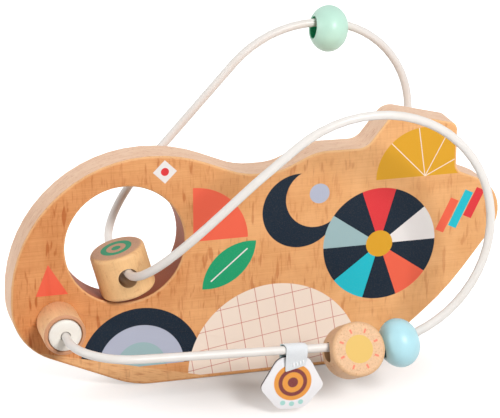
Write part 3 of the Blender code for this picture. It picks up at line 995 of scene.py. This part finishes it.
def inflate(pad, tag):
    """Swell the two layers with cloth pressure while the rim is held."""
    rim = pad.vertex_groups.new(name="rim")
    first = PAD_SEGMENTS * (PAD_RINGS - 1)
    rim.add(range(first, first + 4 * PAD_SEGMENTS), 1.0, "REPLACE")
    pad.data.transform(Matrix.Scale(PAD_SIM_SCALE, 4))
    cloth = pad.modifiers.new("pressure", "CLOTH")
    cloth.settings.quality = 6
    cloth.settings.use_pressure = True
    cloth.settings.uniform_pressure_force = PAD_PRESSURE
    cloth.settings.vertex_group_mass = "rim"
    cloth.settings.effector_weights.gravity = 0.0
    for step in range(1, PAD_SIM_FRAMES + 1):
        bpy.context.scene.frame_set(step)
    keep_shape(pad)
    bpy.context.scene.frame_set(1)
    pad.data.transform(Matrix.Scale(1 / PAD_SIM_SCALE, 4))
    most = max(abs(v.co.y) for v in pad.data.vertices)
    edge = tag.rim / 2
    gain = (tag.crown - edge) / max(most - edge, 1e-6)
    for v in pad.data.vertices:
        swell = max(abs(v.co.y) - edge, 0.0)
        if swell > 0.0:
            v.co.y = math.copysign(edge + swell * gain, v.co.y)


def ribbon_path(tag):
    """Middle line of the ribbon seen along the wire, from the front tail to the back one."""
    radius = RIBBON_IN_R * MM + tag.ribbon_thickness / 2
    tail = tag.crown + tag.ribbon_thickness / 2 + RIBBON_GAP * MM
    front = [(tail, -tag.ribbon_tail), (tail, -7.0 * MM), (tail * 1.02, -5.2 * MM),
             (radius * 0.9, -2.8 * MM), (radius, -0.8 * MM)]
    arc = []
    for i in range(1, RIBBON_FOLD_STEPS):
        a = math.pi * i / RIBBON_FOLD_STEPS
        arc.append((radius * math.cos(a), radius * math.sin(a)))
    right = [(-y, z) for y, z in front]
    left = [(y, z) for y, z in reversed(front)]
    return right + [(-y, z) for y, z in arc] + left


def make_ribbon(tag, matrix):
    """Woven ribbon folded over the wire, its ends cut on a slant."""
    path = ribbon_path(tag)
    bm = bmesh.new()
    rows = []
    for y, z in path:
        row = []
        skew = -RIBBON_SKEW * MM * max(-1.0, min(1.0, y / path[-1][0]))
        for i in range(RIBBON_COLUMNS + 1):
            x = tag.ribbon_width * (i / RIBBON_COLUMNS - 0.5)
            low = max(0.0, (-z - RIBBON_BEND * MM) / (tag.ribbon_tail - RIBBON_BEND * MM))
            slant = RIBBON_SLANT * MM * low * 2 * x / tag.ribbon_width
            row.append(bm.verts.new((x * (1 - RIBBON_TAPER * low) + skew, y, z + slant)))
        rows.append(row)
    for first, second in zip(rows, rows[1:]):
        for i in range(RIBBON_COLUMNS):
            bm.faces.new((first[i], first[i + 1], second[i + 1], second[i]))
    ribbon = add_piece("tag_ribbon", bm, matrix)
    thick = ribbon.modifiers.new("cloth thickness", "SOLIDIFY")
    thick.thickness = tag.ribbon_thickness
    thick.offset = 0.0
    soft = ribbon.modifiers.new("soft folds", "SUBSURF")
    soft.levels = 2
    soft.render_levels = 2
    keep_shape(ribbon)
    smooth(ribbon, ROUND_ANGLE)
    return ribbon


def make_stitches(tag, matrix):
    """Row of raised thread stitches that hold the front tail."""
    bm = bmesh.new()
    surface = -(tag.crown + tag.ribbon_thickness + RIBBON_GAP * MM)
    for index in range(STITCHES):
        x = (STITCH_SHIFT + (index - (STITCHES - 1) / 2) * STITCH_PITCH) * MM
        z = -tag.ribbon_tail + STITCH_RISE * MM + RIBBON_SLANT * MM * 2 * x / tag.ribbon_width
        tube(bm, x, surface, z)
    stitches = add_piece("tag_stitches", bm, matrix)
    smooth(stitches, ROUND_ANGLE)
    return stitches


def tube(bm, x, y, z):
    """One stitch: a short thread that rises out of the cloth and goes back in."""
    rows = []
    for i in range(STITCH_RINGS):
        share = i / (STITCH_RINGS - 1)
        rise = math.sin(math.pi * share)
        centre = Vector((x, y - STITCH_R * MM * (rise - 0.35), z + STITCH_L * MM * (share - 0.5)))
        radius = STITCH_R * MM * (0.45 + 0.55 * rise ** 0.5)
        row = []
        for k in range(STITCH_SIDES):
            a = math.tau * k / STITCH_SIDES
            row.append(bm.verts.new(centre + Vector((radius * math.cos(a), radius * math.sin(a), 0))))
        rows.append(row)
    for first, second in zip(rows, rows[1:]):
        for k in range(STITCH_SIDES):
            j = (k + 1) % STITCH_SIDES
            bm.faces.new((first[k], first[j], second[j], second[k]))
    bm.faces.new(rows[0])
    bm.faces.new(rows[-1])


class RATTLE_OT_tag(bpy.types.Operator):
    """Sew the padded tag and hang it from the wire by its ribbon"""
    bl_idname = "rattle.tag"
    bl_label = "Tag"

    def execute(self, context):
        tag = context.scene.rattle.tag
        matrix = tag_matrix()
        pad = add_piece("tag_pad", pad_mesh(tag, matrix))
        inflate(pad, tag)
        pad.matrix_world = matrix
        smooth(pad, ROUND_ANGLE)
        fit(pad, "tag", "tag_front", tag_front_finish(tag), "tag_front", "tag_filling", "tag_back")
        pad.data.materials.append(cloth_finish("tag_back_cotton", tag.back, COTTON_PITCH, 0.2))
        for face in pad.data.polygons:
            face.material_index = 1 if face.center.y > -0.2 * tag.rim else 0
        ribbon = make_ribbon(tag, matrix)
        outside = cloth_finish("ribbon_weave", tag.ribbon, RIBBON_PITCH, 0.4)
        fit(ribbon, "tag", "ribbon", outside, "tag_strap")
        ribbon.data.materials.append(cloth_finish("ribbon_lining", tag.lining, RIBBON_PITCH, 0.3))
        for face in ribbon.data.polygons:
            inward = Vector((0.0, -face.center.y, -max(face.center.z, 0.0)))
            face.material_index = 1 if face.normal.dot(inward) > 0 else 0
        stitches = make_stitches(tag, matrix)
        stitches.data.materials.append(thread_finish(tag.thread))
        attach(stitches, "tag")
        return {"FINISHED"}


FLOOR_R = 8.0
SENSOR_WIDTH = 36.0
# Place, aim and size of the lamps, in metres
KEY_LAMP = ((0.4, -1.45, 1.0), (0.0, 0.0, 0.06), 0.5)
SIDE_LAMP = ((-1.4, 0.0, 0.5), (0.0, 0.0, 0.08), 0.6)
# Oval on the floor, in millimetres, of painted shadow: in it the floor's added light stays cut deep and
# then fades out to the far floor
SHADOW_MIDDLE = (5.0, -16.0, 0.0)
SHADOW_SHAPE = (0.55, 1.0, 1.0)
SHADOW_DEEP = (10.0, 50.0)
SHADOW_FADE = (55.0, 130.0)
SHADOW_LIFT = 0.1


def floor_finish(stage):
    """Pale floor that reads as white to the camera and keeps the object's shadow, with a painted shadow in
    an oval round the object.
    """
    finish = Finish("floor")
    spot = finish.place()
    oval = finish.vector("MULTIPLY", spot, SHADOW_SHAPE)
    away = finish.vector("DISTANCE", oval, SHADOW_MIDDLE, output="Value")
    # Painted shadow: near the object the added light falls to a tenth of the lift, then rises to the lift
    # and on to the far lift
    lift = finish.mix(finish.ramp(away, *SHADOW_DEEP), [stage.lift * SHADOW_LIFT] * 3, [stage.lift] * 3)
    lift = finish.mix(finish.ramp(away, *SHADOW_FADE), lift, [stage.far_lift] * 3)
    cloud = finish.noise(spot, (0.002, 0.002, 0.002), 2.0)
    finish.set(Base_Color=stage.floor, Roughness=0.9 + 0.05 * cloud, Specular_IOR_Level=0.0,
               Emission_Color=finish.mix(finish.seen(), (0.0, 0.0, 0.0), lift), Emission_Strength=1.0)
    return finish.material


def light_world(scene, stage):
    """Soft studio light, stronger from behind; the camera and clear reflections see white."""
    world = bpy.data.worlds.new("studio")
    world.use_nodes = True
    scene.world = world
    nodes = Nodes(world.node_tree)
    facing = nodes.node("ShaderNodeTexCoord", output="Generated")
    behind = nodes.node("ShaderNodeSeparateXYZ", inputs=(facing,), output="Y")
    tone = nodes.mix(nodes.ramp(behind, -0.6, 0.6), [stage.sky_front] * 3, [stage.sky_back] * 3)
    soft = nodes.node("ShaderNodeBackground", inputs={"Color": tone, "Strength": 1.0})
    white = nodes.node("ShaderNodeBackground", inputs={"Color": (1.0, 1.0, 1.0), "Strength": 1.0})
    both = nodes.node("ShaderNodeMixShader", inputs=(nodes.seen(), soft, white))
    nodes.feed(nodes.tree.nodes["World Output"].inputs["Surface"], both)


def add_lamp(scene, name, place, aim, size, power):
    light = bpy.data.lights.new(name, "AREA")
    light.shape = "DISK"
    light.size = size
    light.energy = power
    lamp = bpy.data.objects.new(name, light)
    lamp.location = place
    lamp.rotation_euler = (Vector(aim) - Vector(place)).to_track_quat("-Z", "Y").to_euler()
    scene.collection.objects.link(lamp)


class RATTLE_OT_stage(bpy.types.Operator):
    """Set the pale floor, the soft lamps and the camera"""
    bl_idname = "rattle.stage"
    bl_label = "Stage"

    def execute(self, context):
        scene = context.scene
        stage = scene.rattle.stage
        bm = bmesh.new()
        bmesh.ops.create_circle(bm, cap_ends=True, segments=96, radius=FLOOR_R)
        floor = add_piece("floor", bm)
        floor.data.materials.append(floor_finish(stage))
        light_world(scene, stage)
        add_lamp(scene, "key", *KEY_LAMP, stage.key)
        add_lamp(scene, "side", *SIDE_LAMP, stage.side)
        view = bpy.data.cameras.new("camera")
        view.lens = stage.lens
        view.sensor_width = SENSOR_WIDTH
        view.dof.use_dof = False
        camera = bpy.data.objects.new("camera", view)
        camera.location = stage.camera
        aim = Vector(stage.target) - Vector(stage.camera)
        camera.rotation_euler = aim.to_track_quat("-Z", "Y").to_euler()
        scene.collection.objects.link(camera)
        scene.camera = camera
        scene.view_settings.view_transform = "Standard"
        return {"FINISHED"}


class VIEW3D_PT_rattle(bpy.types.Panel):
    """Builds the rattle piece by piece"""
    bl_idname = "VIEW3D_PT_rattle"
    bl_label = "Abacus rattle"
    bl_space_type = "VIEW_3D"
    bl_region_type = "UI"
    bl_category = "Rattle"

    def draw(self, context):
        looks = context.scene.rattle
        for operator in OPERATORS:
            self.layout.operator(operator.bl_idname)
        for group in (looks.wood, looks.ink, looks.paint, looks.tag, looks.stage):
            box = self.layout.box()
            for name in group.bl_rna.properties.keys():
                if name not in ("rna_type", "name"):
                    box.prop(group, name)


GROUPS = (RattleWood, RattleInk, RattlePaint, RattleTag, RattleStage, RattleSettings)
OPERATORS = (
    RATTLE_OT_board,
    RATTLE_OT_stand_offs,
    RATTLE_OT_wire,
    RATTLE_OT_turned_beads,
    RATTLE_OT_painted_beads,
    RATTLE_OT_tag,
    RATTLE_OT_stage,
)
CLASSES = (*GROUPS, *OPERATORS, VIEW3D_PT_rattle)


def register():
    for item in CLASSES:
        bpy.utils.register_class(item)
    bpy.types.Scene.rattle = PointerProperty(type=RattleSettings)


def unregister():
    del bpy.types.Scene.rattle
    for item in reversed(CLASSES):
        bpy.utils.unregister_class(item)


def main():
    register()
    bpy.ops.rattle.board()
    bpy.ops.rattle.stand_offs()
    bpy.ops.rattle.wire()
    bpy.ops.rattle.turned_beads()
    bpy.ops.rattle.painted_beads()
    bpy.ops.rattle.tag()
    bpy.ops.rattle.stage()


if __name__ == "__main__":
    main()
